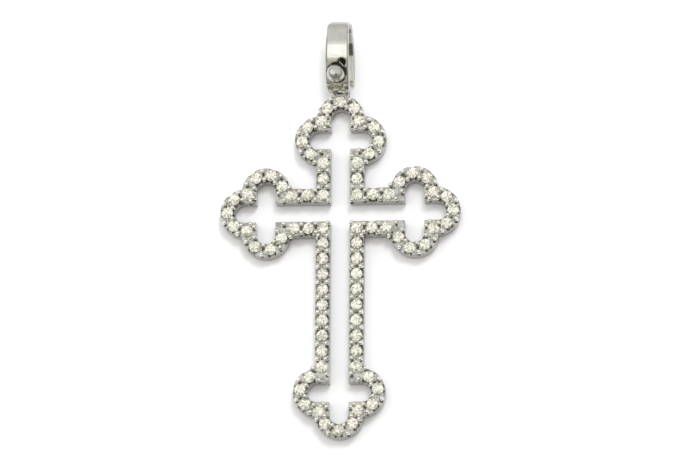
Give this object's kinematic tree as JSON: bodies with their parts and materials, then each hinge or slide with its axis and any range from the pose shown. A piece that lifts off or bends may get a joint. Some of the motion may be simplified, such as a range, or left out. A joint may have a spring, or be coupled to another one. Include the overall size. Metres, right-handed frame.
{
  "type": "openwork cross pendant",
  "caption": "Openwork cross pendant with three-lobed ends, a bead-set row of small round stones along its band, and an oval hinged bail with a ball-headed gate.",
  "frame": {"origin": "middle of the pendant's footprint on the surface that it lies on", "axes": "+Y towards the bail, +Z out of the set face, +X to the right as the face is seen"},
  "size_m": [0.0256, 0.0446, 0.0047],
  "materials": {
    "white_gold": "bright polished white gold, slightly worn",
    "diamond": "faceted, clear with a faint ivory tint"
  },
  "bodies": {
    "cross": {"cross_frame": "white_gold", "stones": "diamond"},
    "bail": {"bail_hoop": "white_gold", "gate_pin": "white_gold"},
    "gate": {"bail_gate": "white_gold"}
  },
  "joints": [
    {"name": "bail_swing", "type": "hinge", "parent": "cross", "child": "bail", "pos_m": [0, 0.01622, 0.00139], "axis": [1, 0, 0], "range_deg": [-66, 8]},
    {"name": "gate_hinge", "type": "hinge", "parent": "bail", "child": "gate", "pos_m": [-0.0002, 0.01558, 0.00247], "axis": [0.9877, -0.0616, 0.1441], "range_deg": [0, 50]}
  ]
}
